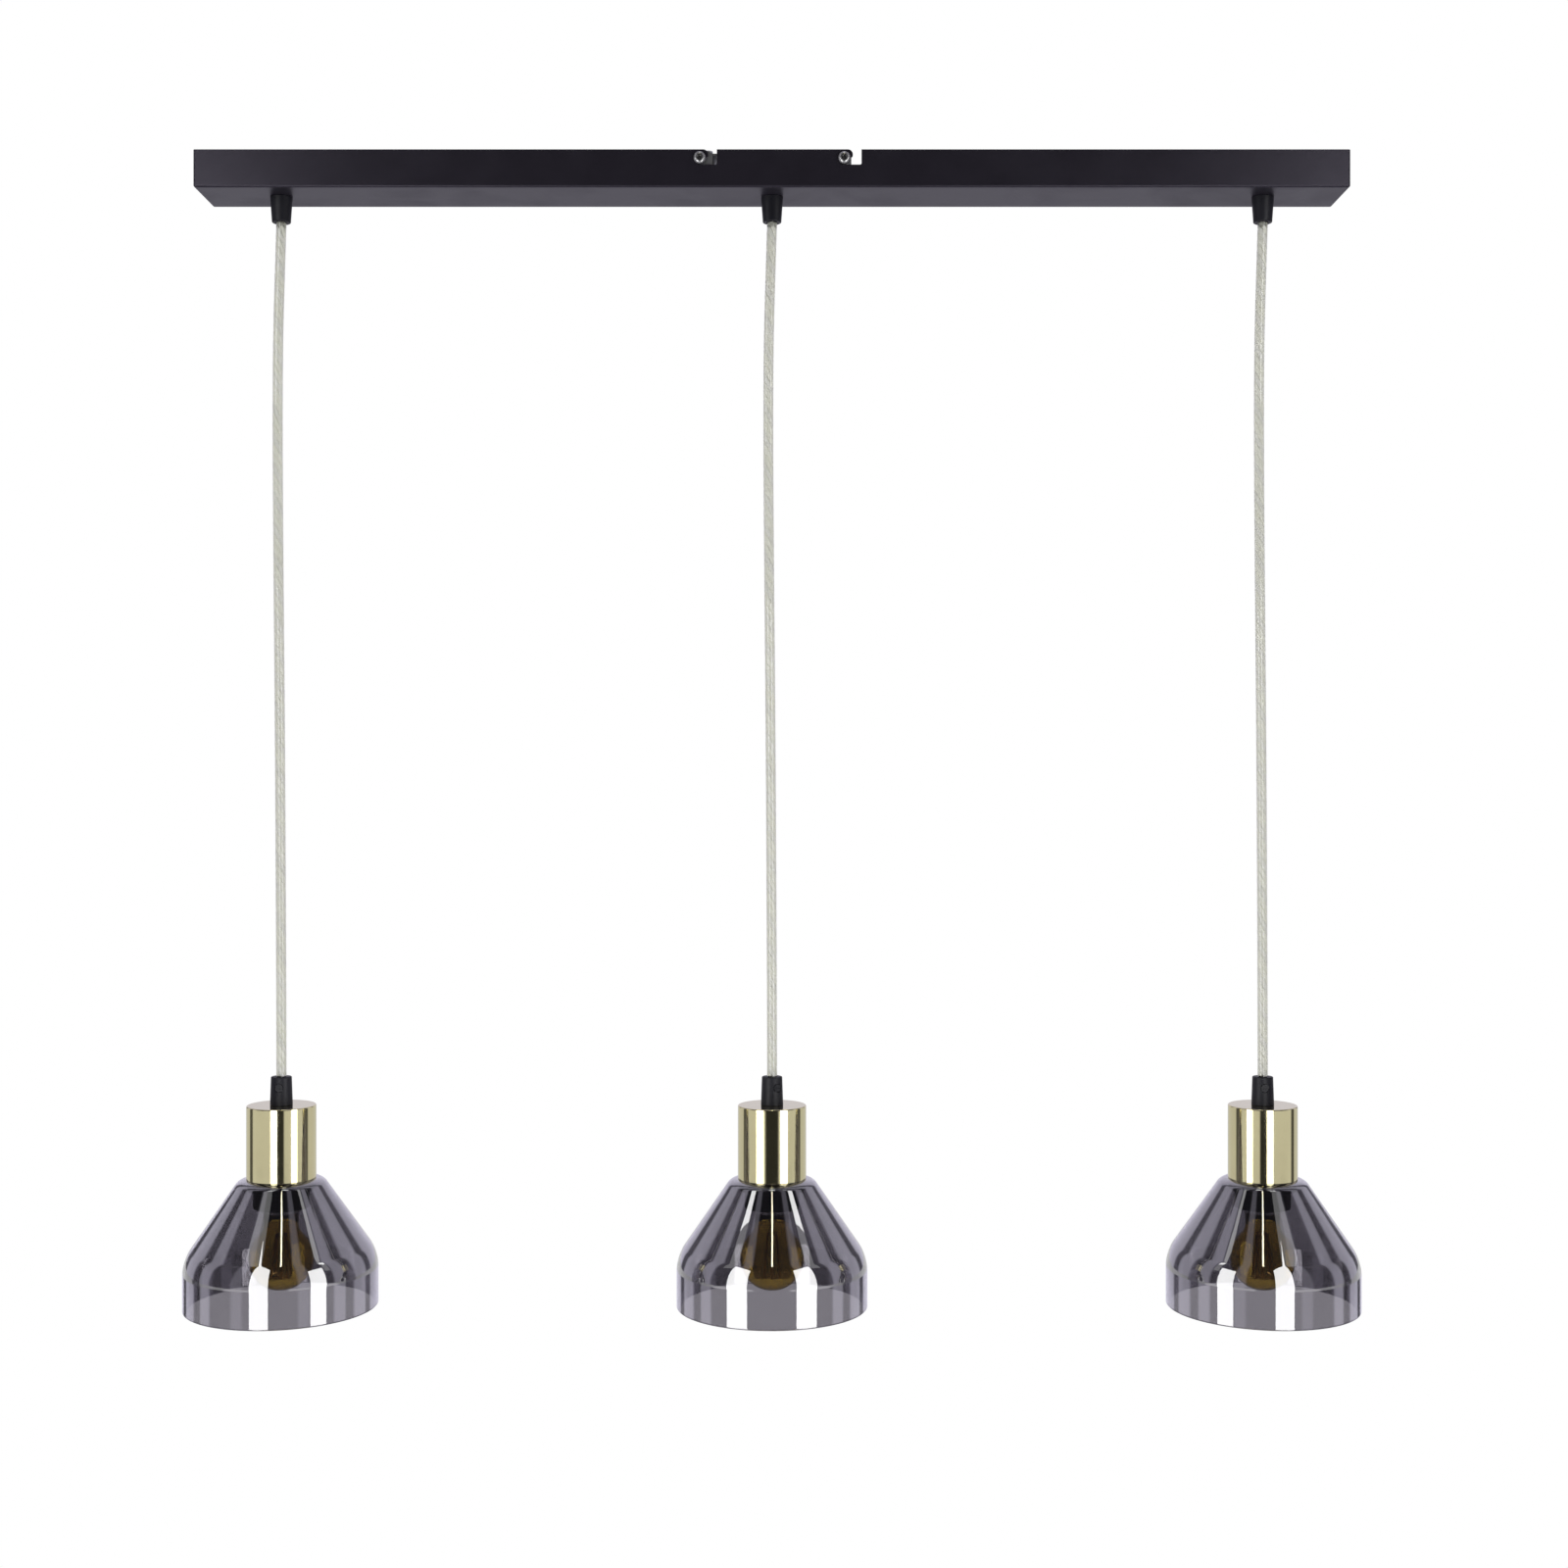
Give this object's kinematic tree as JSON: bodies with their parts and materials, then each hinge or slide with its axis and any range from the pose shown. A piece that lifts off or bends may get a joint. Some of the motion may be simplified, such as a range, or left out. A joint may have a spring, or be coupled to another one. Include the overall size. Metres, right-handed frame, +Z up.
{
  "type": "linear island pendant",
  "caption": "Ceiling bar with a row of glass bell pendant lamps on clear cords that swing, turn and draw up.",
  "frame": {"origin": "centre of the bar in the ceiling plane, which is the bracket's upper face", "axes": "+Z up, +X along the bar, -Y the front seen in the picture"},
  "size_m": [0.824, 0.134, 0.8055],
  "materials": {
    "satin_black_paint": "satin black paint on steel sheet",
    "galvanised_sheet": "galvanised sheet",
    "zinc_screw": "bright zinc",
    "black_plastic": "moulded, low sheen",
    "clear_cord": "clear sheath over twisted cream and silver cores",
    "pale_gold": "polished pale gold",
    "smoked_glass": "smoked, slightly mirrored",
    "amber_glass": "amber tint",
    "nickel": "nickel plate",
    "brass": "bare brass",
    "filament": "coated sticks on a glass stem",
    "natural_plastic": "natural plastic",
    "brown_core": "insulated core",
    "blue_core": "insulated core",
    "green_core": "insulated core"
  },
  "bodies": {
    "bar": {"bar_housing": "satin_black_paint", "ceiling_bracket": "galvanised_sheet", "bracket_screws": "zinc_screw", "upper_grip_nuts": "black_plastic", "upper_grip_screws": "black_plastic", "terminal_block": "natural_plastic", "terminal_clamps": "brass", "terminal_screws": "zinc_screw", "live_leads": "brown_core", "neutral_leads": "blue_core", "earth_lead": "green_core", "earth_nut": "zinc_screw", "left_upper_grip": "black_plastic", "left_cord_tail": "clear_cord", "middle_upper_grip": "black_plastic", "middle_cord_tail": "clear_cord", "right_upper_grip": "black_plastic", "right_cord_tail": "clear_cord"},
    "left_bend": {"left_cord_bend": "clear_cord"},
    "left_hanging_cord": {"left_cord": "clear_cord"},
    "left_carrier": {"left_cord_end": "clear_cord"},
    "left_lamp": {"left_lower_grip": "black_plastic", "left_lower_grip_screw": "black_plastic", "left_cup": "pale_gold", "left_holder_cap": "black_plastic", "left_holder_body": "black_plastic", "left_holder_contacts": "brass", "left_shade_ring": "black_plastic", "left_shade": "smoked_glass"},
    "left_bulb": {"left_bulb_cap": "nickel", "left_bulb_glass": "amber_glass", "left_bulb_filament": "filament"},
    "middle_bend": {"middle_cord_bend": "clear_cord"},
    "middle_hanging_cord": {"middle_cord": "clear_cord"},
    "middle_carrier": {"middle_cord_end": "clear_cord"},
    "middle_lamp": {"middle_lower_grip": "black_plastic", "middle_lower_grip_screw": "black_plastic", "middle_cup": "pale_gold", "middle_holder_cap": "black_plastic", "middle_holder_body": "black_plastic", "middle_holder_contacts": "brass", "middle_shade_ring": "black_plastic", "middle_shade": "smoked_glass"},
    "middle_bulb": {"middle_bulb_cap": "nickel", "middle_bulb_glass": "amber_glass", "middle_bulb_filament": "filament"},
    "right_bend": {"right_cord_bend": "clear_cord"},
    "right_hanging_cord": {"right_cord": "clear_cord"},
    "right_carrier": {"right_cord_end": "clear_cord"},
    "right_lamp": {"right_lower_grip": "black_plastic", "right_lower_grip_screw": "black_plastic", "right_cup": "pale_gold", "right_holder_cap": "black_plastic", "right_holder_body": "black_plastic", "right_holder_contacts": "brass", "right_shade_ring": "black_plastic", "right_shade": "smoked_glass"},
    "right_bulb": {"right_bulb_cap": "nickel", "right_bulb_glass": "amber_glass", "right_bulb_filament": "filament"}
  },
  "joints": [
    {"name": "left_sway", "type": "hinge", "parent": "bar", "child": "left_bend", "pos_m": [-0.345, 0, -0.045], "axis": [0, 1, 0], "range_deg": [-7, 7]},
    {"name": "left_swing", "type": "hinge", "parent": "left_bend", "child": "left_hanging_cord", "pos_m": [-0.345, 0, -0.045], "axis": [1, 0, 0], "range_deg": [-25, 25]},
    {"name": "left_height", "type": "slide", "parent": "left_hanging_cord", "child": "left_carrier", "axis": [0, 0, 1], "range_m": [0, 0.35], "deforming": ["left_cord"]},
    {"name": "left_turn", "type": "hinge", "parent": "left_carrier", "child": "left_lamp", "pos_m": [-0.345, 0, -0.66], "axis": [0, 0, 1], "range_deg": [-180, 180]},
    {"name": "left_bulb_out", "type": "slide", "parent": "left_lamp", "child": "left_bulb", "axis": [0, 0, -1], "range_m": [0, 0.11]},
    {"name": "middle_sway", "type": "hinge", "parent": "bar", "child": "middle_bend", "pos_m": [0, 0, -0.045], "axis": [0, 1, 0], "range_deg": [-7, 7]},
    {"name": "middle_swing", "type": "hinge", "parent": "middle_bend", "child": "middle_hanging_cord", "pos_m": [0, 0, -0.045], "axis": [1, 0, 0], "range_deg": [-25, 25]},
    {"name": "middle_height", "type": "slide", "parent": "middle_hanging_cord", "child": "middle_carrier", "axis": [0, 0, 1], "range_m": [0, 0.35], "deforming": ["middle_cord"]},
    {"name": "middle_turn", "type": "hinge", "parent": "middle_carrier", "child": "middle_lamp", "pos_m": [0, 0, -0.66], "axis": [0, 0, 1], "range_deg": [-180, 180]},
    {"name": "middle_bulb_out", "type": "slide", "parent": "middle_lamp", "child": "middle_bulb", "axis": [0, 0, -1], "range_m": [0, 0.11]},
    {"name": "right_sway", "type": "hinge", "parent": "bar", "child": "right_bend", "pos_m": [0.345, 0, -0.045], "axis": [0, 1, 0], "range_deg": [-7, 7]},
    {"name": "right_swing", "type": "hinge", "parent": "right_bend", "child": "right_hanging_cord", "pos_m": [0.345, 0, -0.045], "axis": [1, 0, 0], "range_deg": [-25, 25]},
    {"name": "right_height", "type": "slide", "parent": "right_hanging_cord", "child": "right_carrier", "axis": [0, 0, 1], "range_m": [0, 0.35], "deforming": ["right_cord"]},
    {"name": "right_turn", "type": "hinge", "parent": "right_carrier", "child": "right_lamp", "pos_m": [0.345, 0, -0.66], "axis": [0, 0, 1], "range_deg": [-180, 180]},
    {"name": "right_bulb_out", "type": "slide", "parent": "right_lamp", "child": "right_bulb", "axis": [0, 0, -1], "range_m": [0, 0.11]}
  ]
}
